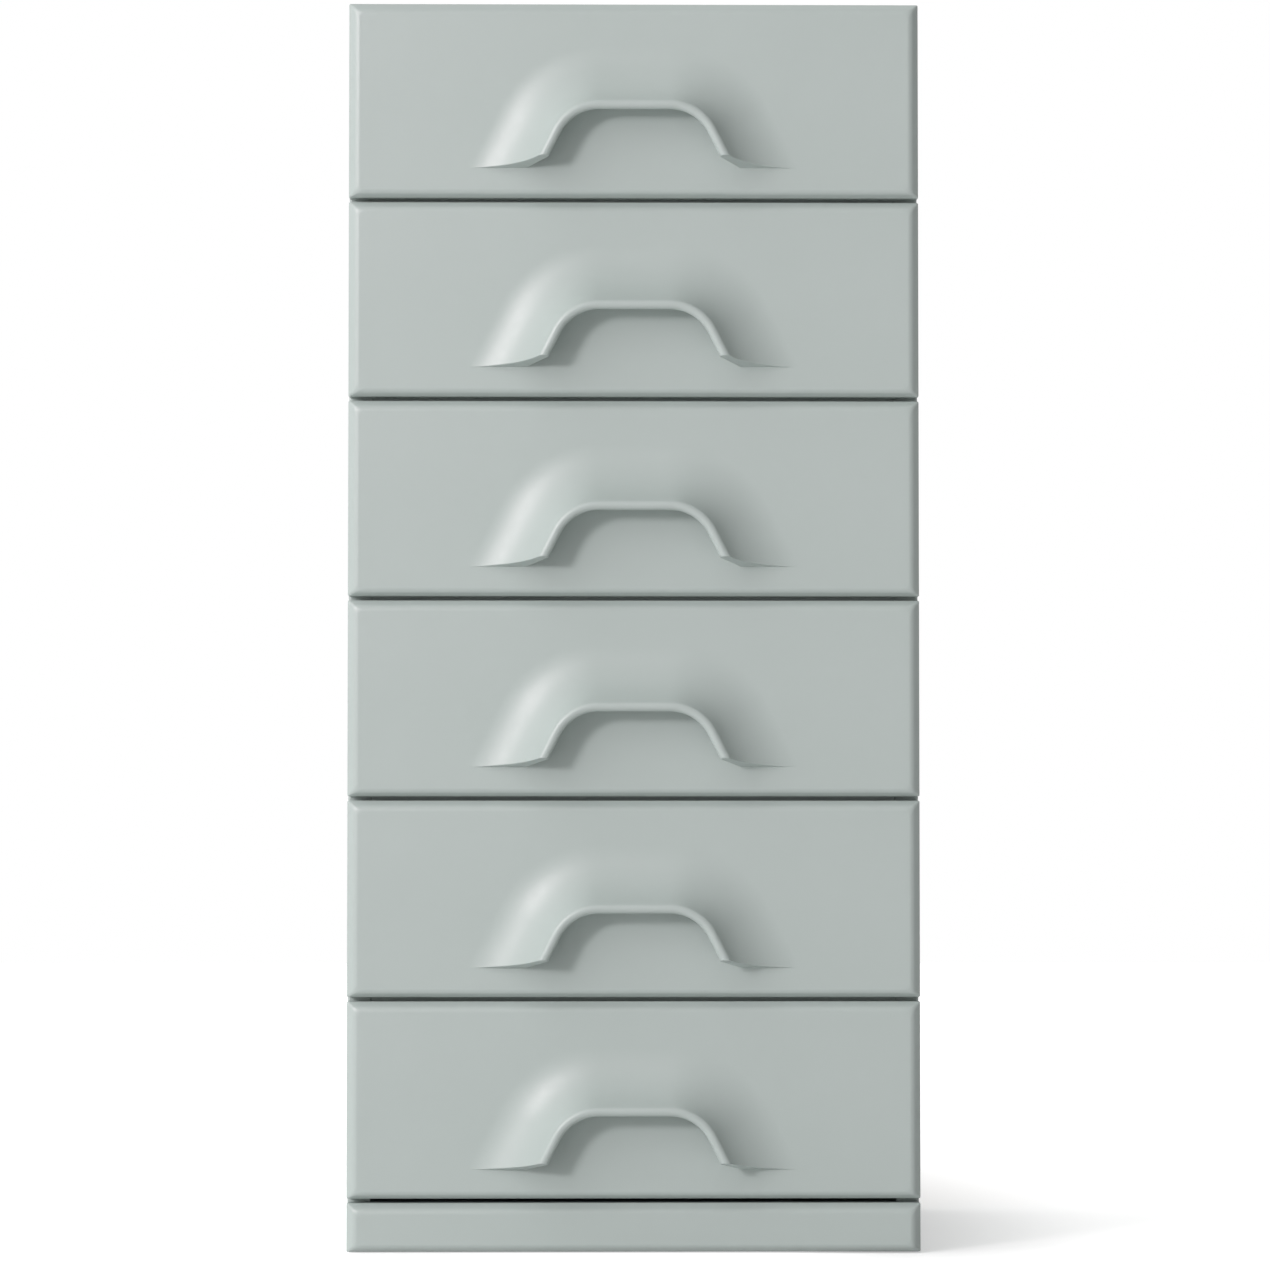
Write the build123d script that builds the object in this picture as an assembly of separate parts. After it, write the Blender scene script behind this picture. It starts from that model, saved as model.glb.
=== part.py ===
from build123d import *

import os
from math import atan2, cos, degrees, radians, sin

# A six-drawer chest in millimetres. X runs across the front, the front faces -Y and +Z is up.
# The origin is on the floor under the middle of the whole chest, grips included.

# Overall layout
chest_width = 400.0
drawer_count = 6
front_height = 137.0
front_gap = 3.0        # between one front and the next
plinth_height = 35.0   # floor to the top edge of the plinth board
front_standoff = 2.0   # between the back of a closed front and the carcass

# Carcass
side_board = 16.0
top_board = 16.0
bottom_board = 16.0
back_board = 5.0
back_rebate = 8.0      # how far the back panel laps over the sides and the top
back_recess = 1.5      # the back panel lies this deep in its rebates
bottom_housing = 5.0   # how far the bottom panel is let into each side
edge_ease = 1.2        # small bevel on the outer edges of the sides and the top
plinth_rail_board = 16.0
block_size = 25.0      # glue blocks behind the plinth board
glide_height = 1.0
glide_width = 12.0
glide_length = 40.0
glide_inset = 20.0     # from the carcass front and back to a glide

# Divider rails
rail_height = 16.0
rail_depth = 60.0
rail_ease = 0.8        # small bevel at a rail's front ends, the dark joint line
tenon_length = 6.0
tenon_height = 8.0
tenon_depth = 40.0

# Drawer fronts and plinth board
front_thickness = 18.0
bevel_side = 6.0       # width of the bevel in front view, left, right and top
bevel_bottom = 4.5     # the lower edge has a narrower bevel
bevel_depth = 6.0
bevel_round = 4.0      # softens the inner edge of the bevel

# Moulded grip: an arch-shaped rim that stands off the front on a flared cove
grip_projection = 28.0
grip_rim_radius = 3.5      # rounding of the rim
grip_rim_wrap = 130.0      # how far that rounding goes, in degrees, from the cove round to the hollow
grip_rim_flats = 2         # narrow flats that draw each half of the rounding
grip_flare = 48.0          # from the rim's inner edge out to where the cove runs into the front
grip_undercut = 11.0       # how much wider the hollow is at the front than at the rim
grip_top_width = 49.0      # straight part of the rim's inner edge
grip_corner_radius = 30.0
grip_leg_angle = 63.0      # legs from the horizontal
grip_rim_above_edge = 58.5   # rim's inner edge above the lower edge of the front
grip_foot_above_edge = 20.5  # foot of the legs at the front's face
grip_foot_slope = 11.0       # the underside of the feet rises towards the rim
grip_root = 2.0              # how deep the grip is rooted in the panel

# Drawer box
box_under_clearance = 6.0  # over the rail below
box_over_clearance = 5.0   # under the board above
box_side_stock = 12.0
box_back_stock = 12.0
box_bottom_stock = 4.0
box_back_margin = 10.0     # side length behind the drawer back
groove_lift = 10.0         # bottom groove over the lower edge of the sides
groove_depth = 6.0
panel_play = 0.2           # room for the bottom panel in its grooves
front_housing = 6.0        # how far sides and bottom are let into the front
back_housing = 4.0         # how far the drawer back is let into the sides

# Telescopic slides, three rolled steel members on each side
slide_length = 400.0
slide_height = 45.0
slide_thickness = 12.7
slide_steel = 1.2
slide_lip = 2.2
slide_play = 0.35          # running clearance between members
slide_flange = 8.5         # depth of the cabinet member
slide_setback = 3.0        # behind the front edges of the carcass
slide_lift = 51.0          # middle of the slides above the lower edge of the drawer box
slide_tail = 10.5          # free room behind the slides
box_tail = 5.0             # the drawer box ends this far ahead of the slides

# Derived sizes
pitch = front_height + front_gap
chest_height = plinth_height + drawer_count * pitch
carcass_depth = slide_setback + slide_length + slide_tail + back_board + back_recess
overall_depth = grip_projection + front_thickness + front_standoff + carcass_depth

face_y = grip_projection - overall_depth / 2
front_back_y = face_y + front_thickness
carcass_front_y = front_back_y + front_standoff
carcass_back_y = carcass_front_y + carcass_depth
back_panel_y = carcass_back_y - back_recess - back_board

half_width = chest_width / 2
inner_half = half_width - side_board
bottom_low = plinth_height - bottom_board
top_low = chest_height - top_board

slide_front_y = carcass_front_y + slide_setback
slide_back_y = slide_front_y + slide_length
box_back_y = slide_back_y - box_tail
box_half = inner_half - slide_thickness
box_inner_half = box_half - box_side_stock
rail_overlap = (rail_height - front_gap) / 2
box_low = rail_overlap + box_under_clearance
box_high = front_height - max(top_board, rail_overlap) - box_over_clearance
bottom_top = box_low + groove_lift + box_bottom_stock
drawer_back_y = box_back_y - box_back_margin - box_back_stock


def block(x, y, z):
    """A box from three (low, high) pairs."""
    size = [high - low for low, high in (x, y, z)]
    centre = [(high + low) / 2 for low, high in (x, y, z)]
    return Pos(*centre) * Box(*size)


def other_side(shape):
    """The right-hand twin of a left-hand piece."""
    return mirror(shape, about=Plane.YZ)


def front_low(number):
    """Height of the lower edge of a drawer front; drawer 1 is the top one."""
    return plinth_height + front_gap + (drawer_count - number) * pitch


def rail_middle(number):
    """Height of the middle of the rail under drawer `number`."""
    return front_low(number) - front_gap / 2


def bevelled_board(y, z):
    """A full-width board with a soft mitred bevel round its face."""
    board = block((-half_width, half_width), y, z)
    face = board.faces().sort_by(Axis.Y)[0]
    other_edges = face.edges().sort_by(Axis.Z)[1:]
    board = chamfer(other_edges, bevel_side, bevel_depth, reference=face)
    face = board.faces().sort_by(Axis.Y)[0]
    lower_edge = face.edges().sort_by(Axis.Z)[0]
    board = chamfer(lower_edge, bevel_bottom, bevel_depth, reference=face)
    return fillet(board.faces().sort_by(Axis.Y)[0].edges(), bevel_round)


def grip_profile():
    """Cross-section of the grip: first axis outwards from the rim's inner edge, second axis forwards."""
    nose_height = grip_projection - grip_rim_radius
    reach = grip_flare - grip_rim_radius
    cove_radius = (reach**2 + nose_height**2 - grip_rim_radius**2) / (2 * grip_projection)
    cove_end = atan2(cove_radius - nose_height, reach)
    cove = CenterArc((grip_flare, cove_radius), cove_radius, 270, degrees(cove_end) - 90)

    # One corner of the rim's flats lies exactly at its foremost point.
    foremost = radians(90)
    steps = [step / grip_rim_flats for step in range(grip_rim_flats)]
    last = cove_end + radians(grip_rim_wrap)
    turns = [cove_end + (foremost - cove_end) * step for step in steps]
    turns += [foremost + (last - foremost) * step for step in steps + [1]]
    rim = [(grip_rim_radius * (1 + cos(turn)), nose_height + grip_rim_radius * sin(turn)) for turn in turns]
    rest = [(grip_undercut, 0), (grip_undercut, -grip_root), (grip_flare, -grip_root), cove @ 0]
    return make_face([cove, Polyline(*rim, *rest)])


def grip():
    """The arched grip, swept along the rim's inner edge and cut off at its feet; front edge at z = 0."""
    angle = radians(grip_leg_angle)
    half_top = grip_top_width / 2
    knee_x = half_top + grip_corner_radius * sin(angle)
    knee_z = grip_rim_above_edge - grip_corner_radius * (1 - cos(angle))
    leg = grip_rim_above_edge / sin(angle)
    end_x = knee_x + leg * cos(angle)
    end_z = knee_z - leg * sin(angle)
    face_plane = Plane((0, face_y, 0), x_dir=(1, 0, 0), z_dir=(0, -1, 0))
    with BuildLine(face_plane) as rim:
        Line((-end_x, end_z), (-knee_x, knee_z))
        RadiusArc((-knee_x, knee_z), (-half_top, grip_rim_above_edge), grip_corner_radius)
        Line((-half_top, grip_rim_above_edge), (half_top, grip_rim_above_edge))
        RadiusArc((half_top, grip_rim_above_edge), (knee_x, knee_z), grip_corner_radius)
        Line((knee_x, knee_z), (end_x, end_z))
    outward = Vector(-sin(angle), 0, cos(angle))
    section_plane = Plane((-end_x, face_y, end_z), x_dir=outward, z_dir=outward.cross(Vector(0, -1, 0)))
    arch = sweep(section_plane * grip_profile(), path=rim.wire())
    reach = chest_width + overall_depth
    below = block((-reach, reach), (-reach, reach), (-reach, 0))
    return arch - Pos(0, face_y, grip_foot_above_edge) * Rot(-grip_foot_slope, 0, 0) * below


def drawer_front():
    """Bevelled panel and grip in one piece, with housings for the drawer sides and bottom behind."""
    front = bevelled_board((face_y, front_back_y), (0, front_height)) + grip()
    depth = (front_back_y - front_housing, front_back_y)
    side_housing = block((-box_half, -box_inner_half), depth, (box_low, box_high))
    groove = block((-box_inner_half, box_inner_half), depth, groove_span())
    return front - [side_housing, other_side(side_housing), groove]


def groove_span():
    """Low and high edge of the groove for the drawer bottom."""
    low = box_low + groove_lift
    return (low, low + box_bottom_stock + panel_play)


def drawer_left_side():
    """Drawer side with the groove for the bottom and the housing for the back."""
    length = (front_back_y - front_housing, box_back_y)
    side = block((-box_half, -box_inner_half), length, (box_low, box_high))
    groove = block((-box_inner_half - groove_depth, -box_inner_half), length, groove_span())
    housing = block(
        (-box_inner_half - back_housing, -box_inner_half),
        (drawer_back_y, drawer_back_y + box_back_stock),
        (bottom_top, box_high),
    )
    return side - [groove, housing]


def drawer_back():
    """Drawer back, which stands on the bottom panel between the sides."""
    reach = box_inner_half + back_housing
    return block((-reach, reach), (drawer_back_y, drawer_back_y + box_back_stock), (bottom_top, box_high))


def drawer_bottom():
    """Thin bottom panel, slid into its grooves from behind."""
    reach = box_inner_half + groove_depth - panel_play
    front_end = front_back_y - front_housing + panel_play
    return block((-reach, reach), (front_end, box_back_y), (bottom_top - box_bottom_stock, bottom_top))


def slide_member(half_outline):
    """Left-hand slide member from the upper half of its outline: depth off the side panel, height."""
    lower = [(depth, -height) for depth, height in reversed(half_outline)]
    plane = Plane((-inner_half, slide_front_y, box_low + slide_lift), x_dir=(1, 0, 0), z_dir=(0, -1, 0))
    outline = make_face(Polyline(*half_outline, *lower, close=True))
    return extrude(plane * outline, -slide_length)


def slide_pair(half_outline):
    """The left and right member of one drawer's slides."""
    left = slide_member(half_outline)
    return [left, other_side(left)]


def cabinet_outline():
    """Channel screwed to the side panel, with lips that hold the mid member."""
    top = slide_height / 2
    inside = top - slide_steel
    return [
        (0, top),
        (slide_flange, top),
        (slide_flange, inside - slide_lip),
        (slide_flange - slide_steel, inside - slide_lip),
        (slide_flange - slide_steel, inside),
        (slide_steel, inside),
    ]


def mid_outline():
    """Smaller channel that runs behind the lips of the cabinet member."""
    web = slide_steel + slide_play
    top = slide_height / 2 - slide_steel - slide_play
    inside = top - slide_steel
    edge = slide_flange - slide_steel - slide_play
    return [
        (web, top),
        (edge, top),
        (edge, inside - slide_lip),
        (edge - slide_steel, inside - slide_lip),
        (edge - slide_steel, inside),
        (web + slide_steel, inside),
    ]


def drawer_member_outline():
    """Hat section screwed to the drawer side, with flanges that run behind the lips of the mid member."""
    mid_inside = slide_height / 2 - 2 * slide_steel - slide_play
    flange_top = mid_inside - slide_play
    neck = mid_inside - slide_lip - slide_play
    flange_face = slide_flange - 2 * slide_steel - 2 * slide_play
    return [
        (slide_thickness, neck),
        (flange_face, neck),
        (flange_face, flange_top),
        (flange_face - slide_steel, flange_top),
        (flange_face - slide_steel, neck - slide_steel),
        (slide_thickness - slide_steel, neck - slide_steel),
    ]


def left_side_panel():
    """Side panel with housings for the bottom, the rails and the back."""
    panel = block((-half_width, -inner_half), (carcass_front_y, carcass_back_y), (glide_height, top_low))
    panel = chamfer(panel.edges().filter_by(Axis.Z).group_by(Axis.X)[0], edge_ease)
    cuts = [
        block(
            (-inner_half - back_rebate, -inner_half),
            (back_panel_y, carcass_back_y),
            (bottom_low, top_low),
        ),
        block(
            (-inner_half - bottom_housing, -inner_half),
            (carcass_front_y, back_panel_y),
            (bottom_low, plinth_height),
        ),
    ]
    for number in range(1, drawer_count):
        cuts.append(rail_tenon(number))
    return panel - cuts


def rail_tenon(number):
    """Left stub tenon of a divider rail."""
    start = carcass_front_y + (rail_depth - tenon_depth) / 2
    middle = rail_middle(number)
    return block(
        (-inner_half - tenon_length, -inner_half),
        (start, start + tenon_depth),
        (middle - tenon_height / 2, middle + tenon_height / 2),
    )


def divider_rail(number):
    """Rail between two drawers, with a stub tenon in each side panel."""
    middle = rail_middle(number)
    rail = block(
        (-inner_half, inner_half),
        (carcass_front_y, carcass_front_y + rail_depth),
        (middle - rail_height / 2, middle + rail_height / 2),
    )
    rail = chamfer(rail.edges().filter_by(Axis.Z).group_by(Axis.Y)[0], rail_ease)
    tenon = rail_tenon(number)
    return rail + [tenon, other_side(tenon)]


def top_panel():
    """Top panel over the sides, rebated for the back panel."""
    panel = block((-half_width, half_width), (carcass_front_y, carcass_back_y), (top_low, chest_height))
    corners = panel.edges().filter_by(Axis.Z)
    rim = panel.faces().sort_by(Axis.Z)[-1].edges()
    panel = chamfer(corners + rim, edge_ease)
    reach = inner_half + back_rebate
    return panel - block((-reach, reach), (back_panel_y, carcass_back_y), (top_low, top_low + back_rebate))


def bottom_panel():
    """Bottom panel, let into both sides."""
    reach = inner_half + bottom_housing
    return block((-reach, reach), (carcass_front_y, back_panel_y), (bottom_low, plinth_height))


def back_panel():
    """Thin back in the rebates of the sides and the top."""
    reach = inner_half + back_rebate
    depth = (back_panel_y, back_panel_y + back_board)
    return block((-reach, reach), depth, (bottom_low, top_low + back_rebate))


def plinth_back_rail():
    """Rail between the sides under the back edge of the bottom panel."""
    depth = (back_panel_y - plinth_rail_board, back_panel_y)
    return block((-inner_half, inner_half), depth, (glide_height, bottom_low))


def plinth_blocks():
    """Glue blocks in the corners behind the plinth board."""
    left = block(
        (-inner_half, -inner_half + block_size),
        (carcass_front_y, carcass_front_y + block_size),
        (glide_height, bottom_low),
    )
    return Compound([left, other_side(left)])


def floor_glides():
    """Four thin felt pads under the side panels."""
    middle = half_width - side_board / 2
    starts = (carcass_front_y + glide_inset, carcass_back_y - glide_inset - glide_length)
    pads = []
    for start in starts:
        pad = block(
            (-middle - glide_width / 2, -middle + glide_width / 2),
            (start, start + glide_length),
            (0, glide_height),
        )
        pads += [pad, other_side(pad)]
    return Compound(pads)


def carcass_nodes():
    """All fixed pieces by name."""
    left_side = left_side_panel()
    nodes = {
        "left_side_panel": left_side,
        "right_side_panel": other_side(left_side),
        "top_panel": top_panel(),
        "bottom_panel": bottom_panel(),
        "back_panel": back_panel(),
        "plinth_front": bevelled_board((face_y, carcass_front_y), (glide_height, plinth_height)),
        "plinth_back_rail": plinth_back_rail(),
        "plinth_blocks": plinth_blocks(),
        "floor_glides": floor_glides(),
    }
    for number in range(1, drawer_count):
        nodes[f"divider_rail_{number}"] = divider_rail(number)
    left_member, right_member = slide_pair(cabinet_outline())
    levels = [Pos(0, 0, front_low(number)) for number in range(1, drawer_count + 1)]
    nodes["left_cabinet_slides"] = Compound([level * left_member for level in levels])
    nodes["right_cabinet_slides"] = Compound([level * right_member for level in levels])
    return nodes


def drawer_nodes():
    """All pieces of one drawer by name, with the lower edge of the front at z = 0."""
    left_side = drawer_left_side()
    return {
        "front": drawer_front(),
        "left_side": left_side,
        "right_side": other_side(left_side),
        "back": drawer_back(),
        "bottom": drawer_bottom(),
        "slides": Compound(slide_pair(drawer_member_outline())),
        "mid_slides": Compound(slide_pair(mid_outline())),
    }


os.makedirs("parts", exist_ok=True)
for name, shape in carcass_nodes().items():
    export_step(shape, f"parts/{name}.step")
drawer = drawer_nodes()
for number in range(1, drawer_count + 1):
    for name, shape in drawer.items():
        export_step(Pos(0, 0, front_low(number)) * shape, f"parts/drawer_{number}_{name}.step")
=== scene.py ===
import math

import bmesh
import bpy
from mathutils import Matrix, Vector
from mathutils.geometry import tessellate_polygon


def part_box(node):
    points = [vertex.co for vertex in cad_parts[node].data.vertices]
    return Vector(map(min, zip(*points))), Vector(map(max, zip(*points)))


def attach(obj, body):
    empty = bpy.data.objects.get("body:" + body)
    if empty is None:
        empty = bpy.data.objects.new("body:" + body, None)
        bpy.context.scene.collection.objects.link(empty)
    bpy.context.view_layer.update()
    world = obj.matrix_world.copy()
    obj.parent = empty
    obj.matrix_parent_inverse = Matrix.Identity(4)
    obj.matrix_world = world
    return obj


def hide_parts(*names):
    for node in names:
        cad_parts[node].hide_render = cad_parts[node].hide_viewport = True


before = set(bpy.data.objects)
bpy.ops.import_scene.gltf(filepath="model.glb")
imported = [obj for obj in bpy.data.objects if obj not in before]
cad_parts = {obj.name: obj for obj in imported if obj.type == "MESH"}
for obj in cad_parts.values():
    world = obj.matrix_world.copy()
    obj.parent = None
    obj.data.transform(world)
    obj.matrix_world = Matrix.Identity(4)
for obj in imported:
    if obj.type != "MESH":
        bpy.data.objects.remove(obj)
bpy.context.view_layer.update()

# Everything below is in metres in the CAD frame. Sizes that are easier to read in millimetres carry MM.
MM = 0.001
DRAWERS = range(1, 7)

# Fronts and plinth board. Their bevels are softer than the solids' own and have rounded corners.
FRONT_THICKNESS = 18 * MM
BEVEL_SIDE = 5.2 * MM
BEVEL_BOTTOM = 3.2 * MM
BEVEL_DEPTH = 6 * MM
SIDE_ROUND = 6.5 * MM
BOTTOM_ROUND = 4.5 * MM
ROUND_STEPS = 9
EDGE_EASE = 1.4 * MM
EASE_STEPS = 4
CORNER_OUTER = 1.0 * MM
CORNER_INNER = 4.0 * MM
CORNER_STEPS = 6
BACK_EASE = 0.5 * MM
HOUSING = 6 * MM
GROOVE_ROOM = 0.2 * MM
SLIDE_STEEL = 1.2 * MM

# Moulded grip
GRIP_PROJECTION = 28 * MM
RIM_RADIUS = 3.5 * MM
GRIP_FLARE = 48 * MM
GRIP_UNDERCUT = 11 * MM
GRIP_HALF_TOP = 24.5 * MM
GRIP_CORNER = 30 * MM
LEG_ANGLE = math.radians(63)
RIM_ABOVE_EDGE = 58.5 * MM
FOOT_ABOVE_EDGE = 20.5 * MM
FOOT_SLOPE = math.radians(11)
FOOT_EASE = 0.8 * MM
FOOT_EASE_SHARE = 0.3

# Steps across the grip (cove, rim, hollow wall) and along it (top, bend, leg, foot)
COVE_STEPS, RIM_STEPS, WALL_STEPS = 30, 16, 6
TOP_STEPS, BEND_STEPS, LEG_STEPS, FOOT_STEPS = 3, 26, 6, 4

# Mesh clean-up: points this close are one, and edges sharper than CREASE stay sharp
SAME_POINT = 1e-7
MERGE_DISTANCE = 2e-6
CREASE = math.radians(35)
FLAT_WEIGHT = 80

# Screw and nail heads. The profile runs from the seat up, in shares of the radius and the height.
HEAD_PROFILE = ((1.0, 0.0), (1.0, 0.35), (0.94, 0.7), (0.82, 0.92), (0.62, 1.0))
HEAD_SIDES = 20
CROSS_ARM = 0.42
CROSS_HALF = 0.11
CROSS_TAPER = 0.8
CROSS_FLOOR = 0.35
PAN_RADIUS, PAN_HEIGHT = 3.4 * MM, 1.7 * MM
FLUSH_RADIUS, FLUSH_HEIGHT = 3.6 * MM, 0.2 * MM
NAIL_RADIUS, NAIL_HEIGHT = 1.8 * MM, 0.5 * MM

# Places along a slide member, from its front end or, where negative, from its rear end
PAN_PLACES = (35 * MM, 195 * MM, -52 * MM)
FLUSH_PLACES = (20 * MM, 180 * MM, -30 * MM)

# Nails of the back panel: distance from its edges, first and last nail of a row, and spaces in a row
NAIL_INSET = 4 * MM
NAIL_INSET_BELOW = 8 * MM
NAIL_COLUMN_END, NAIL_COLUMN_SPACES = 30 * MM, 8
NAIL_ROW_END, NAIL_ROW_SPACES = 45 * MM, 3

# CAD meshes: softened edges by kind of piece, and the angles that count as flat and as an edge
BOARD_EASE = 0.6 * MM
PANEL_EASE = 0.4 * MM
RAIL_EASE = 0.3 * MM
STEEL_EASE = 0.2 * MM
WELD_DISTANCE = 1e-6
FLAT_ANGLE = math.radians(0.5)
EDGE_ANGLE = math.radians(25)

# Colours of the ramps, in the order of their stops
LACQUER = ((0.440, 0.496, 0.476), (0.456, 0.510, 0.492))
VENEER = ((0.58, 0.41, 0.245), (0.665, 0.50, 0.325), (0.72, 0.56, 0.385))
PORES = ((0.80, 0.76, 0.70), (1.0, 1.0, 1.0))
PLY_EDGE = ((0.36, 0.235, 0.125), (0.56, 0.40, 0.24), (0.68, 0.52, 0.345))
HARDBOARD = ((0.33, 0.215, 0.125), (0.40, 0.27, 0.165))
FLECKS = ((0.62, 0.58, 0.52), (1.0, 1.0, 1.0), (1.18, 1.15, 1.1))
ZINC = ((0.57, 0.585, 0.60), (0.66, 0.665, 0.66))
STREAKS = ((0.84, 0.84, 0.84), (1.0, 1.0, 1.0))
SCREW_ZINC = ((0.46, 0.46, 0.45), (0.58, 0.58, 0.57))
FELT = ((0.06, 0.055, 0.05), (0.19, 0.175, 0.16))
FLOOR = ((0.77, 0.77, 0.77), (0.79, 0.79, 0.79))
WHITE = (1.0, 1.0, 1.0, 1.0)
PLIES_PER_METRE = 9 / 0.012

# Studio floor: how much white it adds where it is seen, and how much less in a window on the right of the
# chest, where the missing white is painted shade over the real soft shadow. Each pair gives the places where
# that window has no effect and full effect.
FLOOR_REACH = 9.0
FLOOR_LIFT = 0.70
FLOOR_PAINTED_SHADE = 0.295
SHADE_RIGHT, SHADE_LEFT = (0.38, 0.17), (0.08, 0.19)
SHADE_FRONT, SHADE_BACK = (-0.34, -0.21), (1.9, 0.4)

# World: a glow from the upper left, narrowed by its power, and a weaker one from behind
GLOW = 2.08
GLOW_POWER = 3.0
GLOW_FROM = (-0.66, -0.42, 0.623)
GLOW_TINT = (0.995, 1.0, 0.995, 1.0)
BACK_GLOW = 0.65

# Lamps and camera
KEY_TARGET = (0.0, -0.1, 0.66)
KEY_TINT = (1.0, 0.947, 0.972)
SHEEN_TARGET = (0.0, -0.1, 0.45)
SHEEN_TINT = (1.0, 0.90, 0.93)
CAMERA_PLACE = (-0.0497, -3.706, 0.2778)
CAMERA_YAW = math.radians(0.827)
CAMERA_PITCH = math.radians(2.499)
CAMERA_LENS = 142.13
CAMERA_SENSOR = 36.0
CAMERA_CLIP = (0.05, 60.0)


def spread(low, high, count):
    """Evenly spaced values from low to high, both included."""
    return [low + (high - low) * i / count for i in range(count + 1)]


class Skin:
    """Collects the points and faces of one closed mesh."""

    def __init__(self):
        self.points = []
        self.faces = []

    def row(self, points):
        """Adds points and returns their numbers."""
        start = len(self.points)
        self.points += [tuple(p) for p in points]
        return list(range(start, len(self.points)))

    def strip(self, first, second, closed=False):
        """Joins two rows of the same length with four-sided faces."""
        count = len(first)
        for i in range(count if closed else count - 1):
            k = (i + 1) % count
            self.faces.append((first[i], first[k], second[k], second[i]))

    def fill(self, loops, drop):
        """Fills flat loops, the first one outside and the others as holes. drop is the axis left out."""
        kept = []
        for loop in loops:
            clean = []
            for i in loop:
                if not clean or (Vector(self.points[i]) - Vector(self.points[clean[-1]])).length > SAME_POINT:
                    clean.append(i)
            kept.append(clean)
        numbers = [i for loop in kept for i in loop]
        flat = []
        for loop in kept:
            corners = [[c for a, c in enumerate(self.points[i]) if a != drop] for i in loop]
            flat.append([Vector((a, b, 0)) for a, b in corners])
        for triangle in tessellate_polygon(flat):
            self.faces.append(tuple(numbers[i] for i in triangle))

    def mesh(self, name):
        """A smooth-shaded mesh with creases at its sharp edges."""
        made = bpy.data.meshes.new(name)
        made.from_pydata(self.points, [], self.faces)
        bm = bmesh.new()
        bm.from_mesh(made)
        bmesh.ops.remove_doubles(bm, verts=bm.verts, dist=MERGE_DISTANCE)
        bmesh.ops.dissolve_degenerate(bm, dist=SAME_POINT, edges=bm.edges)
        bmesh.ops.recalc_face_normals(bm, faces=bm.faces)
        bm.to_mesh(made)
        bm.free()
        made.shade_smooth()
        made.set_sharp_from_angle(angle=CREASE)
        return made


def add_object(name, mesh, body, material, base_z=0.0):
    """Puts a finished mesh in the scene at a height, on a CAD body and with its material."""
    obj = bpy.data.objects.new(name, mesh)
    bpy.context.scene.collection.objects.link(obj)
    obj.location.z = base_z
    if material.name not in [m.name for m in mesh.materials if m]:
        mesh.materials.append(material)
    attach(obj, body)
    return obj


def even_normals(obj):
    """Large flat faces keep flat shading beside small rounded ones."""
    modifier = obj.modifiers.new("even_normals", "WEIGHTED_NORMAL")
    modifier.mode = "FACE_AREA"
    modifier.keep_sharp = True
    modifier.weight = FLAT_WEIGHT


def bevel_inset(width, radius):
    """How far a bevelled edge lies inside the outline, as a function of the depth behind the face."""
    tilt = math.atan2(BEVEL_DEPTH, width)
    start = width + radius * math.tan(tilt / 2)
    fillet_end = radius * (1 - math.cos(tilt))
    steep = math.hypot(1 / width, 1 / BEVEL_DEPTH)
    ease_end = BEVEL_DEPTH * (1 + EDGE_EASE * steep - EDGE_EASE / width)
    ease_start = ease_end - EDGE_EASE / BEVEL_DEPTH / steep

    def inset(depth):
        if depth < fillet_end:
            return start - math.sqrt(max(0, radius**2 - (radius - depth) ** 2))
        if depth < ease_start:
            return width * (1 - depth / BEVEL_DEPTH)
        if depth < ease_end:
            return EDGE_EASE - math.sqrt(max(0, EDGE_EASE**2 - (ease_end - depth) ** 2))
        return 0

    stops = [radius * (1 - math.cos(a)) for a in spread(0, tilt, ROUND_STEPS)]
    stops += spread(ease_start, ease_end, EASE_STEPS)
    return inset, stops


def rounded_corners(half, low, high, radius):
    """An upright rectangle with rounded corners, as (x, z) points from the lower left round to the right."""
    centres = ((radius - half, low + radius), (half - radius, low + radius))
    centres += ((half - radius, high - radius), (radius - half, high - radius))
    points = []
    for quarter, (x, z) in enumerate(centres):
        start = math.pi * (1 + quarter / 2)
        for turn in spread(start, start + math.pi / 2, CORNER_STEPS):
            points.append((x + radius * math.cos(turn), z + radius * math.sin(turn)))
    return points


def bevelled_rings(skin, half, low, high, face_y, thickness):
    """Rings of points from the face's flat field round the bevels to the back; returns the first and last."""
    side, side_stops = bevel_inset(BEVEL_SIDE, SIDE_ROUND)
    bottom, bottom_stops = bevel_inset(BEVEL_BOTTOM, BOTTOM_ROUND)
    depths = sorted({round(d, 7) for d in side_stops + bottom_stops})
    insets = [(d, side(d), bottom(d)) for d in depths]
    for turn in spread(0, math.pi / 2, EASE_STEPS):
        inset = BACK_EASE * (1 - math.cos(turn))
        insets.append((thickness - BACK_EASE + BACK_EASE * math.sin(turn), inset, inset))
    rings = []
    for depth, a, b in insets:
        radius = CORNER_OUTER + (CORNER_INNER - CORNER_OUTER) * min(1, a / side(0))
        corners = rounded_corners(half - a, low + b, high - a, radius)
        rings.append(skin.row([(x, face_y + depth, z) for x, z in corners]))
    for first, second in zip(rings, rings[1:]):
        skin.strip(first, second, closed=True)
    return rings[0], rings[-1]


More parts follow.
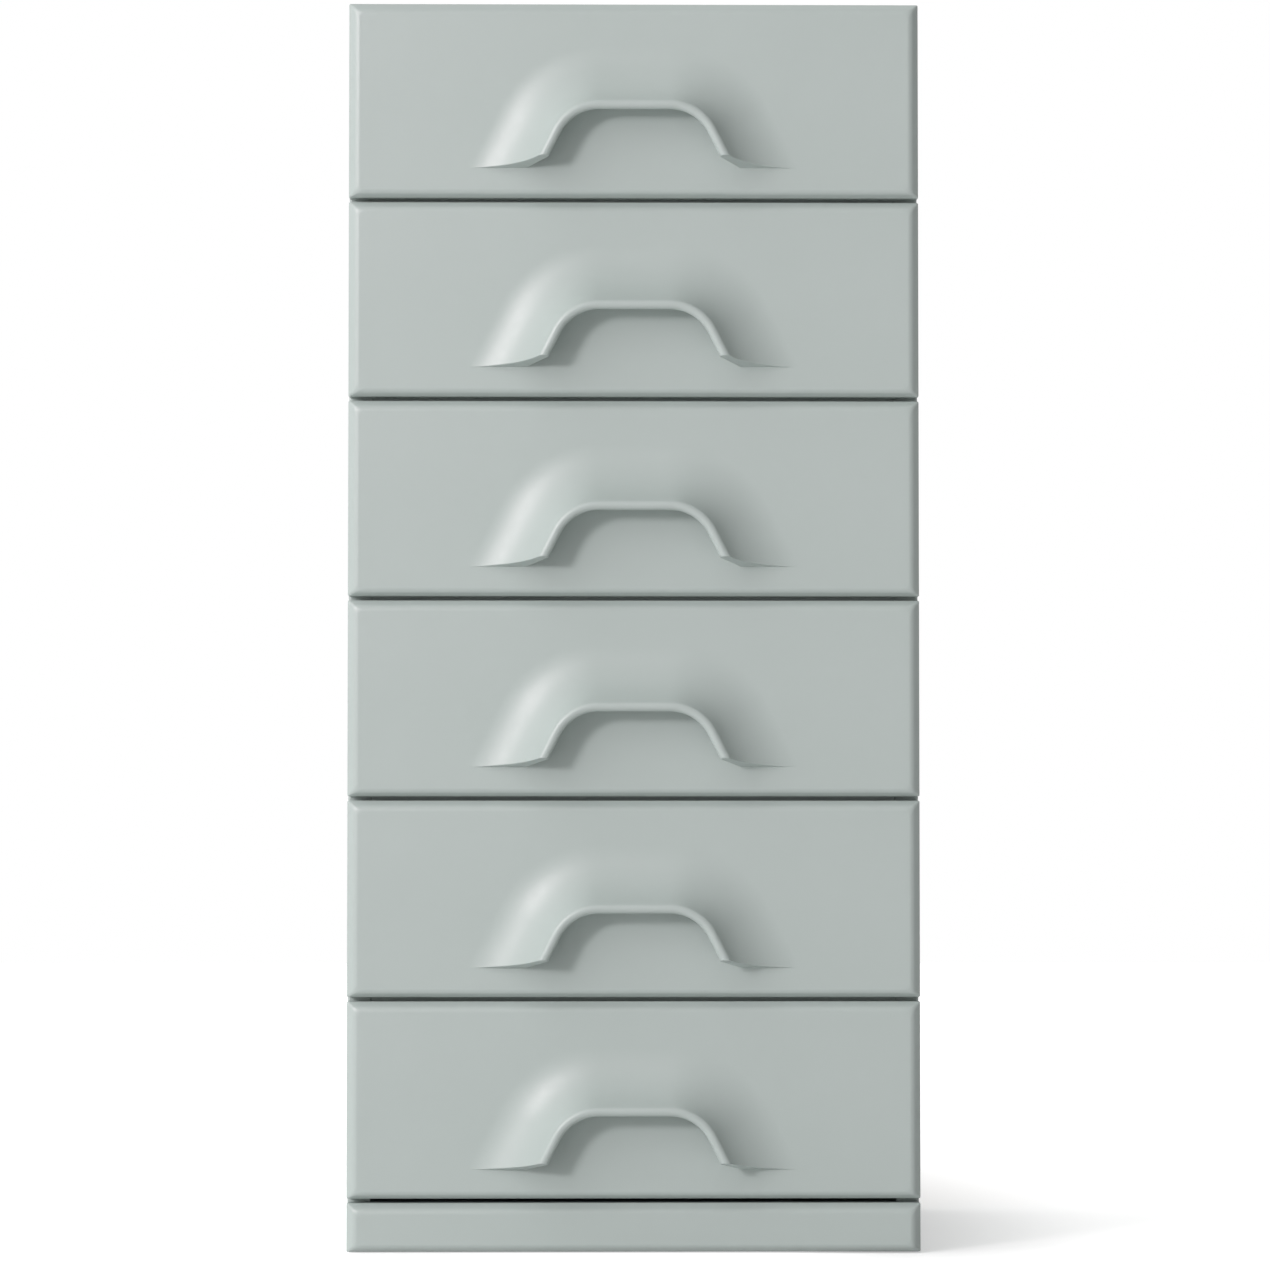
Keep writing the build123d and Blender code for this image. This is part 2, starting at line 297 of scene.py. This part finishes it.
def grip_section():
    """Points across the grip as (outwards from the rim's inner edge, forwards): cove, rim and hollow wall."""
    nose = GRIP_PROJECTION - RIM_RADIUS
    reach = GRIP_FLARE - RIM_RADIUS
    cove_radius = (reach**2 + nose**2 - RIM_RADIUS**2) / (2 * GRIP_PROJECTION)
    cove_end = math.atan2(cove_radius - nose, reach)
    points = []
    for turn in spread(0, math.pi / 2 - cove_end, COVE_STEPS):
        points.append((GRIP_FLARE - cove_radius * math.sin(turn), cove_radius * (1 - math.cos(turn))))
    across = GRIP_UNDERCUT - RIM_RADIUS
    wall_lean = math.atan2(nose, -across) + math.asin(RIM_RADIUS / math.hypot(across, nose))
    for turn in spread(cove_end, wall_lean + math.pi / 2, RIM_STEPS)[1:]:
        points.append((RIM_RADIUS * (1 + math.cos(turn)), nose + RIM_RADIUS * math.sin(turn)))
    last_u, last_h = points[-1]
    for share in spread(0, 1, WALL_STEPS)[1:]:
        points.append((last_u + (GRIP_UNDERCUT - last_u) * share, last_h * (1 - share)))
    return points


def grip_rows():
    """Right half of the grip: rows of (x, forwards, z) points from the middle of the rim to the foot."""
    section = grip_section()
    centre_z = RIM_ABOVE_EDGE - GRIP_CORNER
    rows = []
    for x in spread(0, GRIP_HALF_TOP, TOP_STEPS):
        rows.append([(x, h, RIM_ABOVE_EDGE + u) for u, h in section])
    for turn in spread(0, LEG_ANGLE, BEND_STEPS)[1:]:
        out_x, out_z = math.sin(turn), math.cos(turn)
        bend = [(GRIP_CORNER + u, h) for u, h in section]
        rows.append([(GRIP_HALF_TOP + r * out_x, h, centre_z + r * out_z) for r, h in bend])
    knees = [Vector(p) for p in rows[-1]]
    down = Vector((math.cos(LEG_ANGLE), 0, -math.sin(LEG_ANGLE)))
    ends = []
    for knee in knees:
        drop = knee.z - FOOT_ABOVE_EDGE - knee.y * math.tan(FOOT_SLOPE)
        ends.append(knee + down * (drop / math.sin(LEG_ANGLE)))
    inside = []
    for i, end in enumerate(ends):
        before, after = ends[max(i - 1, 0)], ends[min(i + 1, len(ends) - 1)]
        along = Vector((after.x - before.x, (after.y - before.y) / math.cos(FOOT_SLOPE))).normalized()
        inward = Vector((-along.y, along.x * math.cos(FOOT_SLOPE), along.x * math.sin(FOOT_SLOPE)))
        ease = min(FOOT_EASE, FOOT_EASE_SHARE * end.y)
        inside.append((end - down * ease, end + inward * ease))
    for share in spread(0, 1, LEG_STEPS)[1:]:
        rows.append([tuple(k.lerp(a, share)) for k, (a, _) in zip(knees, inside)])
    for t in spread(0, 1, FOOT_STEPS)[1:]:
        curve = [a * (1 - t) ** 2 + e * (2 * t * (1 - t)) + b * t**2 for e, (a, b) in zip(ends, inside)]
        rows.append([tuple(point) for point in curve])
    return rows


def housing_outline():
    """Outline of the housings for the drawer sides and bottom, as (x, z) from the front's lower edge."""
    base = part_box("drawer_1_front")[0].z
    side_low, side_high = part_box("drawer_1_right_side")
    bottom_low, bottom_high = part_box("drawer_1_bottom")
    outer, inner = side_high.x, side_low.x
    low, high = side_low.z - base, side_high.z - base
    groove_low, groove_high = bottom_low.z - base, bottom_high.z - base + GROOVE_ROOM
    half = [
        (inner, groove_low),
        (inner, low),
        (outer, low),
        (outer, high),
        (inner, high),
        (inner, groove_high),
    ]
    return half + [(-x, z) for x, z in reversed(half)]


def front_mesh(half, height, face_y):
    """One moulded drawer front with its lower edge at z = 0: bevelled panel, grip and housings behind."""
    skin = Skin()
    face_ring, back_ring = bevelled_rings(skin, half, 0, height, face_y, FRONT_THICKNESS)
    right = grip_rows()
    left = [[(-x, h, z) for x, h, z in row] for row in reversed(right[1:])]
    rows = [skin.row([(x, face_y - h, z) for x, h, z in row]) for row in left + right]
    for first, second in zip(rows, rows[1:]):
        skin.strip(first, second)
    skin.fill([rows[0]], drop=1)
    skin.fill([rows[-1]], drop=1)
    outline = [row[0] for row in rows] + [row[-1] for row in reversed(rows)]
    skin.fill([face_ring, outline], drop=1)
    back_y = face_y + FRONT_THICKNESS
    pocket = housing_outline()
    rim = skin.row([(x, back_y, z) for x, z in pocket])
    floor = skin.row([(x, back_y - HOUSING, z) for x, z in pocket])
    skin.fill([back_ring, rim], drop=1)
    skin.strip(rim, floor, closed=True)
    skin.fill([floor], drop=1)
    return skin.mesh("drawer_front")


def plinth_mesh():
    """The bevelled board under the lowest drawer."""
    low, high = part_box("plinth_front")
    skin = Skin()
    first, last = bevelled_rings(skin, high.x, low.z, high.z, low.y, high.y - low.y)
    skin.fill([first], drop=1)
    skin.fill([last], drop=1)
    return skin.mesh("plinth_board")


def add_head(skin, seat, axis, way, radius, height, crossed):
    """A screw or nail head on a flat face: seat is its middle, way is 1 or -1 along the axis."""
    first, second = [a for a in range(3) if a != axis]

    def ring(outline, rise):
        points = []
        for a, b in outline:
            point = list(seat)
            point[first] += a
            point[second] += b
            point[axis] += way * rise
            points.append(point)
        return skin.row(points)

    circle = [(math.cos(t), math.sin(t)) for t in spread(0, 2 * math.pi, HEAD_SIDES)[1:]]
    rings = []
    for wide, high in HEAD_PROFILE:
        rings.append(ring([(radius * wide * a, radius * wide * b) for a, b in circle], height * high))
    for lower, upper in zip(rings, rings[1:]):
        skin.strip(lower, upper, closed=True)
    skin.fill([rings[0]], drop=axis)
    if not crossed:
        skin.fill([rings[-1]], drop=axis)
        return
    arm, half = CROSS_ARM * radius, CROSS_HALF * radius
    quarter = [(half, arm), (-half, arm), (-half, half)]
    cross = []
    for turn in range(4):
        c, k = round(math.cos(turn * math.pi / 2)), round(math.sin(turn * math.pi / 2))
        cross += [(a * c - b * k, a * k + b * c) for a, b in quarter]
    rim = ring(cross, height)
    floor = ring([(CROSS_TAPER * a, CROSS_TAPER * b) for a, b in cross], CROSS_FLOOR * height)
    skin.fill([rings[-1], rim], drop=axis)
    skin.strip(rim, floor, closed=True)
    skin.fill([floor], drop=axis)


def slide_places(number, places):
    """The height of one drawer's slides, and places along them that count from the front or the rear end."""
    low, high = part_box(f"drawer_{number}_slides")
    return (low.z + high.z) / 2, [(low.y if place > 0 else high.y) + place for place in places]


def slide_screws(number):
    """Pan-head screws that hold one drawer's slide members to its sides."""
    seat_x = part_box(f"drawer_{number}_right_side")[1].x + SLIDE_STEEL
    z, places = slide_places(number, PAN_PLACES)
    skin = Skin()
    for side in (-1, 1):
        for y in places:
            add_head(skin, (side * seat_x, y, z), 0, side, PAN_RADIUS, PAN_HEIGHT, True)
    return skin.mesh(f"slide_screws_{number}")


def cabinet_screws():
    """Flush screws that hold the cabinet members to the side panels."""
    seat_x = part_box("right_cabinet_slides")[1].x - SLIDE_STEEL
    skin = Skin()
    for n in DRAWERS:
        z, places = slide_places(n, FLUSH_PLACES)
        for side in (-1, 1):
            for y in places:
                add_head(skin, (side * seat_x, y, z), 0, -side, FLUSH_RADIUS, FLUSH_HEIGHT, False)
    return skin.mesh("cabinet_screws")


def back_nails():
    """Flat nail heads round the edge of the back panel."""
    low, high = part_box("back_panel")
    places = []
    for z in spread(low.z + NAIL_COLUMN_END, high.z - NAIL_COLUMN_END, NAIL_COLUMN_SPACES):
        places += [(low.x + NAIL_INSET, z), (high.x - NAIL_INSET, z)]
    for x in spread(low.x + NAIL_ROW_END, high.x - NAIL_ROW_END, NAIL_ROW_SPACES):
        places += [(x, low.z + NAIL_INSET_BELOW), (x, high.z - NAIL_INSET)]
    skin = Skin()
    for x, z in places:
        add_head(skin, (x, high.y, z), 1, 1, NAIL_RADIUS, NAIL_HEIGHT, False)
    return skin.mesh("back_nails")


class Nodes:
    """Short way to write a node tree: values go on sockets, sockets are linked."""

    def __init__(self, tree):
        self.tree = tree

    def add(self, kind, inputs=None, **settings):
        node = self.tree.nodes.new(kind)
        for key, value in settings.items():
            setattr(node, key, value)
        for key, value in (inputs or {}).items():
            self.put(node.inputs[key], value)
        return node

    def put(self, socket, value):
        if isinstance(value, bpy.types.NodeSocket):
            self.tree.links.new(value, socket)
        else:
            socket.default_value = value

    def ramp(self, factor, colours, stops=(0.3, 0.7)):
        """Colours that follow one another at the stops."""
        node = self.add("ShaderNodeValToRGB", {"Fac": factor})
        ramp = node.color_ramp
        while len(ramp.elements) < len(stops):
            ramp.elements.new(0.5)
        for element, stop, colour in zip(ramp.elements, stops, colours):
            element.position = stop
            element.color = (*colour, 1)
        return node.outputs["Color"]

    def noise(self, vector, scale, detail=3.0, roughness=0.5):
        inputs = {"Vector": vector, "Scale": scale, "Detail": detail, "Roughness": roughness}
        return self.add("ShaderNodeTexNoise", inputs).outputs["Fac"]

    def remap(self, value, low, high, from_low=0.0, from_high=1.0):
        """Moves the range from_low to from_high to low to high."""
        inputs = {"Value": value, "From Min": from_low, "From Max": from_high, "To Min": low, "To Max": high}
        return self.add("ShaderNodeMapRange", inputs).outputs["Result"]

    def fade(self, value, none, full):
        """Rises smoothly from 0 at none to 1 at full."""
        inputs = {"Value": value, "From Min": none, "From Max": full}
        node = self.add("ShaderNodeMapRange", inputs, interpolation_type="SMOOTHSTEP")
        return node.outputs["Result"]

    def maths(self, operation, a, b=0.5):
        return self.add("ShaderNodeMath", {0: a, 1: b}, operation=operation).outputs[0]

    def mix(self, factor, a, b, blend="MIX"):
        node = self.add("ShaderNodeMix", data_type="RGBA", blend_type=blend)
        self.put(node.inputs[0], factor)
        self.put(node.inputs[6], a)
        self.put(node.inputs[7], b)
        return node.outputs[2]

    def axes(self, vector):
        return self.add("ShaderNodeSeparateXYZ", {0: vector}).outputs

    def stretch(self, vector, scale):
        node = self.add("ShaderNodeVectorMath", {0: vector, 1: scale}, operation="MULTIPLY")
        return node.outputs[0]

    def bump(self, height, strength, distance, normal=None):
        inputs = {"Height": height, "Strength": strength, "Distance": distance}
        if normal is not None:
            inputs["Normal"] = normal
        return self.add("ShaderNodeBump", inputs).outputs["Normal"]

    def seen(self):
        """1 for what the camera sees, directly or in gloss or glass, and 0 for what lights a surface."""
        path = self.add("ShaderNodeLightPath").outputs
        mirrored = self.maths("MAXIMUM", path["Is Camera Ray"], path["Is Glossy Ray"])
        return self.maths("MAXIMUM", mirrored, path["Is Transmission Ray"])


def new_material(name):
    """A material with its node helper, its shader, and the object's own coordinates."""
    material = bpy.data.materials.new(name)
    material.use_nodes = True
    nodes = Nodes(material.node_tree)
    shader = material.node_tree.nodes["Principled BSDF"]
    place = nodes.add("ShaderNodeTexCoord").outputs["Object"]
    return material, nodes, shader, place


def lacquer_material():
    """Satin lacquer, sprayed: an even grey-green with the faint orange peel of a sprayed coat."""
    material, nodes, shader, place = new_material("satin_lacquer")
    patches = nodes.noise(place, scale=7.0, detail=2.0)
    nodes.put(shader.inputs["Base Color"], nodes.ramp(patches, LACQUER))
    sheen = nodes.noise(place, scale=260.0, detail=2.0)
    roughness = nodes.remap(sheen, low=0.39, high=0.44, from_low=0.3, from_high=0.7)
    nodes.put(shader.inputs["Roughness"], roughness)
    peel = nodes.noise(place, scale=900.0, detail=2.0, roughness=0.45)
    waves = nodes.noise(place, scale=55.0, detail=1.0)
    coarse = nodes.bump(waves, strength=0.10, distance=0.4 * MM)
    nodes.put(shader.inputs["Normal"], nodes.bump(peel, strength=0.06, distance=0.3 * MM, normal=coarse))
    return material


def grain_scale(across, along, grain):
    """Texture scales on the three axes: one along the fibres, the other across them."""
    scale = [across] * 3
    scale[grain] = along
    return scale


def plywood_material(name, grain, thickness, start):
    """Varnished pale plywood. grain is the axis of the long fibres, thickness the axis across the plies."""
    material, nodes, shader, place = new_material(name)
    fine = nodes.stretch(place, grain_scale(420.0, 14.0, grain))
    broad = nodes.stretch(place, grain_scale(38.0, 2.2, grain))
    pores = nodes.noise(fine, scale=1.0, detail=4.0, roughness=0.6)
    bands = nodes.noise(broad, scale=1.0, detail=3.0, roughness=0.55)
    veneer = nodes.ramp(bands, VENEER, (0.25, 0.5, 0.75))
    lines = nodes.ramp(pores, PORES, (0.3, 0.55))
    face_colour = nodes.mix(1.0, veneer, lines, "MULTIPLY")
    depth = nodes.maths("ADD", nodes.maths("ABSOLUTE", nodes.axes(place)[thickness], 0.0), -start)
    layer = nodes.maths("MULTIPLY", depth, PLIES_PER_METRE)
    wave = nodes.maths("SINE", nodes.maths("MULTIPLY", layer, math.pi), 0.0)
    speck = nodes.noise(nodes.stretch(place, (900.0, 900.0, 900.0)), scale=1.0)
    tone = nodes.remap(nodes.maths("ADD", wave, nodes.remap(speck, -0.6, 0.6)), 0.0, 1.0, -1.0, 1.0)
    edge_colour = nodes.ramp(tone, PLY_EDGE, (0.30, 0.48, 0.62))
    normal = nodes.add("ShaderNodeNewGeometry").outputs["Normal"]
    facing = nodes.maths("ABSOLUTE", nodes.axes(normal)[thickness], 0.0)
    on_face = nodes.remap(facing, low=0.0, high=1.0, from_low=0.45, from_high=0.75)
    nodes.put(shader.inputs["Base Color"], nodes.mix(on_face, edge_colour, face_colour))
    nodes.put(shader.inputs["Roughness"], nodes.remap(pores, low=0.42, high=0.58))
    nodes.put(shader.inputs["Normal"], nodes.bump(pores, strength=0.18, distance=0.3 * MM))
    return material


def hardboard_material():
    """Smooth brown hardboard with short pressed fibres."""
    material, nodes, shader, place = new_material("pressed_hardboard")
    fibres = nodes.noise(place, scale=520.0, detail=6.0, roughness=0.7)
    clouds = nodes.noise(place, scale=16.0)
    flecks = nodes.ramp(fibres, FLECKS, (0.32, 0.52, 0.7))
    nodes.put(shader.inputs["Base Color"], nodes.mix(1.0, nodes.ramp(clouds, HARDBOARD), flecks, "MULTIPLY"))
    nodes.put(shader.inputs["Roughness"], nodes.remap(fibres, low=0.45, high=0.65))
    nodes.put(shader.inputs["Normal"], nodes.bump(fibres, strength=0.15, distance=0.3 * MM))
    return material


def steel_material():
    """Zinc-plated rolled steel with drawing streaks along the slides."""
    material, nodes, shader, place = new_material("zinc_plated_steel")
    streaks = nodes.noise(nodes.stretch(place, (1500.0, 9.0, 1500.0)), scale=1.0)
    tint = nodes.ramp(nodes.noise(place, scale=35.0), ZINC)
    shade = nodes.ramp(streaks, STREAKS, (0.3, 0.65))
    nodes.put(shader.inputs["Base Color"], nodes.mix(1.0, tint, shade, "MULTIPLY"))
    shader.inputs["Metallic"].default_value = 1.0
    nodes.put(shader.inputs["Roughness"], nodes.remap(streaks, low=0.26, high=0.42))
    nodes.put(shader.inputs["Normal"], nodes.bump(streaks, strength=0.06, distance=0.2 * MM))
    return material


def screw_material():
    """Zinc of screw and nail heads, slightly mottled."""
    material, nodes, shader, place = new_material("bright_zinc")
    spots = nodes.noise(place, scale=700.0)
    nodes.put(shader.inputs["Base Color"], nodes.ramp(spots, SCREW_ZINC))
    shader.inputs["Metallic"].default_value = 1.0
    nodes.put(shader.inputs["Roughness"], nodes.remap(spots, low=0.24, high=0.40))
    return material


def felt_material():
    """Pressed dark felt."""
    material, nodes, shader, place = new_material("pressed_felt")
    fibres = nodes.noise(place, scale=1400.0, detail=5.0, roughness=0.75)
    nodes.put(shader.inputs["Base Color"], nodes.ramp(fibres, FELT))
    shader.inputs["Roughness"].default_value = 0.95
    shader.inputs["Specular IOR Level"].default_value = 0.1
    nodes.put(shader.inputs["Normal"], nodes.bump(fibres, strength=0.6, distance=0.5 * MM))
    return material


def floor_material():
    """White studio floor: white to the camera, with painted shade on the right of the chest that darkens the
    floor over its real soft shadow.
    """
    material, nodes, shader, place = new_material("studio_floor")
    nodes.put(shader.inputs["Base Color"], nodes.ramp(nodes.noise(place, scale=3.0, detail=2.0), FLOOR))
    shader.inputs["Roughness"].default_value = 0.9
    shader.inputs["Specular IOR Level"].default_value = 0.0
    axes = nodes.axes(place)
    # Painted shade: less white is added in a window on the right of the chest, so the floor there is darker
    # than its real shadow alone makes it.
    across = nodes.maths("MULTIPLY", nodes.fade(axes[0], *SHADE_RIGHT), nodes.fade(axes[0], *SHADE_LEFT))
    along = nodes.maths("MULTIPLY", nodes.fade(axes[1], *SHADE_FRONT), nodes.fade(axes[1], *SHADE_BACK))
    painted_shade_window = nodes.maths("MULTIPLY", across, along)
    lift = nodes.remap(painted_shade_window, low=FLOOR_LIFT, high=FLOOR_LIFT - FLOOR_PAINTED_SHADE)
    nodes.put(shader.inputs["Emission Color"], WHITE)
    nodes.put(shader.inputs["Emission Strength"], nodes.maths("MULTIPLY", nodes.seen(), lift))
    return material


def make_world():
    """White where it is seen; as light a soft glow from the upper left and a weaker one from behind."""
    world = bpy.data.worlds.new("studio")
    bpy.context.scene.world = world
    world.use_nodes = True
    nodes = Nodes(world.node_tree)
    seen = nodes.seen()
    towards = nodes.add("ShaderNodeTexCoord").outputs["Generated"]
    dot = nodes.add("ShaderNodeVectorMath", {0: towards, 1: GLOW_FROM}, operation="DOT_PRODUCT")
    lobe = nodes.maths("POWER", nodes.maths("MAXIMUM", dot.outputs["Value"], 0.0), GLOW_POWER)
    behind = nodes.maths("MAXIMUM", nodes.axes(towards)["Y"], 0.0)
    glow = nodes.maths("ADD", nodes.maths("MULTIPLY", lobe, GLOW), nodes.maths("MULTIPLY", behind, BACK_GLOW))
    strength = nodes.add("ShaderNodeMix", {0: seen, 2: glow, 3: 1.0}, data_type="FLOAT").outputs[0]
    background = world.node_tree.nodes["Background"]
    nodes.put(background.inputs["Color"], nodes.mix(seen, GLOW_TINT, WHITE))
    nodes.put(background.inputs["Strength"], strength)


def aim(obj, target):
    """Turns a lamp's or camera's -Z towards a point."""
    direction = Vector(target) - obj.location
    obj.rotation_mode = "QUATERNION"
    obj.rotation_quaternion = direction.to_track_quat("-Z", "Y")


def area_lamp(name, azimuth, elevation, distance, size, power, target, tint):
    """A soft box at that many degrees left of the front and above the level of its target."""
    lamp = bpy.data.lights.new(name, "AREA")
    lamp.color = tint
    lamp.shape = "RECTANGLE"
    lamp.size, lamp.size_y = size
    lamp.energy = power
    obj = bpy.data.objects.new(name, lamp)
    bpy.context.scene.collection.objects.link(obj)
    a, e = math.radians(azimuth), math.radians(elevation)
    away = Vector((-math.sin(a) * math.cos(e), -math.cos(a) * math.cos(e), math.sin(e)))
    obj.location = Vector(target) + away * distance
    aim(obj, target)
    return obj


def make_lamps():
    """A key lamp for light and shadow, and a broader one that only gives the lacquer its highlights."""
    key = area_lamp(
        "key",
        azimuth=33,
        elevation=6.9,
        distance=3.6,
        size=(0.6, 0.48),
        power=44.8,
        target=KEY_TARGET,
        tint=KEY_TINT,
    )
    key.visible_glossy = False
    sheen = area_lamp(
        "sheen",
        azimuth=37,
        elevation=25,
        distance=3.2,
        size=(1.7, 0.8),
        power=82.0,
        target=SHEEN_TARGET,
        tint=SHEEN_TINT,
    )
    sheen.visible_diffuse = False


def make_camera():
    """The photograph's own view: a long lens low in front of the chest, looking slightly up."""
    camera = bpy.data.cameras.new("camera")
    camera.sensor_width = CAMERA_SENSOR
    camera.lens = CAMERA_LENS
    camera.clip_start, camera.clip_end = CAMERA_CLIP
    obj = bpy.data.objects.new("camera", camera)
    bpy.context.scene.collection.objects.link(obj)
    obj.location = CAMERA_PLACE
    level = math.cos(CAMERA_PITCH)
    ahead = Vector((math.sin(CAMERA_YAW) * level, math.cos(CAMERA_YAW) * level, math.sin(CAMERA_PITCH)))
    aim(obj, obj.location + ahead)
    bpy.context.scene.camera = obj


def make_floor():
    """A large plain floor."""
    r = FLOOR_REACH
    mesh = bpy.data.meshes.new("studio_floor")
    mesh.from_pydata([(-r, -r, 0.0), (r, -r, 0.0), (r, r, 0.0), (-r, r, 0.0)], [], [(0, 1, 2, 3)])
    obj = bpy.data.objects.new("studio_floor", mesh)
    bpy.context.scene.collection.objects.link(obj)
    mesh.materials.append(floor_material())


def dress(node, material, ease=None):
    """A CAD node keeps its mesh and gets a material, softened edges and even shading."""
    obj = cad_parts[node]
    obj.data.materials.clear()
    obj.data.materials.append(material)
    weld = obj.modifiers.new("weld", "WELD")
    weld.merge_threshold = WELD_DISTANCE
    flat = obj.modifiers.new("flat_faces", "DECIMATE")
    flat.decimate_type = "DISSOLVE"
    flat.angle_limit = FLAT_ANGLE
    if ease:
        soft = obj.modifiers.new("soft_edges", "BEVEL")
        soft.width = ease
        soft.segments = 2
        soft.limit_method = "ANGLE"
        soft.angle_limit = EDGE_ANGLE
    smooth = obj.modifiers.new("even_normals", "WEIGHTED_NORMAL")
    smooth.keep_sharp = True


lacquer = lacquer_material()
hardboard = hardboard_material()
steel = steel_material()
screw_steel = screw_material()
felt = felt_material()
ply_sides = plywood_material("plywood_sides", 1, 0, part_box("drawer_1_right_side")[0].x)
ply_backs = plywood_material("plywood_backs", 0, 1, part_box("drawer_1_back")[0].y)

front_low, front_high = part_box("drawer_1_front")
shared_front = front_mesh(front_high.x, front_high.z - front_low.z, front_high.y - FRONT_THICKNESS)
for n in DRAWERS:
    drawer = f"drawer_{n}"
    node = f"{drawer}_front"
    front = add_object(f"moulded_front_{n}", shared_front, drawer, lacquer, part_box(node)[0].z)
    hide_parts(node)
    even_normals(front)
    dress(f"{drawer}_left_side", ply_sides, BOARD_EASE)
    dress(f"{drawer}_right_side", ply_sides, BOARD_EASE)
    dress(f"{drawer}_back", ply_backs, BOARD_EASE)
    dress(f"{drawer}_bottom", hardboard)
    dress(f"{drawer}_slides", steel, STEEL_EASE)
    dress(f"{drawer}_mid_slides", steel, STEEL_EASE)
    add_object(f"slide_screws_{n}", slide_screws(n), drawer, screw_steel)

plinth = add_object("plinth_board", plinth_mesh(), "carcass", lacquer)
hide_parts("plinth_front")
even_normals(plinth)

for name in ("left_side_panel", "right_side_panel", "top_panel", "bottom_panel"):
    dress(name, lacquer, PANEL_EASE)
for n in range(1, len(DRAWERS)):
    dress(f"divider_rail_{n}", lacquer, RAIL_EASE)
dress("back_panel", hardboard)
dress("plinth_back_rail", ply_backs, PANEL_EASE)
dress("plinth_blocks", ply_backs, PANEL_EASE)
dress("floor_glides", felt)
dress("left_cabinet_slides", steel, STEEL_EASE)
dress("right_cabinet_slides", steel, STEEL_EASE)
add_object("cabinet_screws", cabinet_screws(), "carcass", screw_steel)
add_object("back_nails", back_nails(), "carcass", screw_steel)

make_world()
make_floor()
make_camera()
make_lamps()
bpy.context.scene.view_settings.view_transform = "Standard"
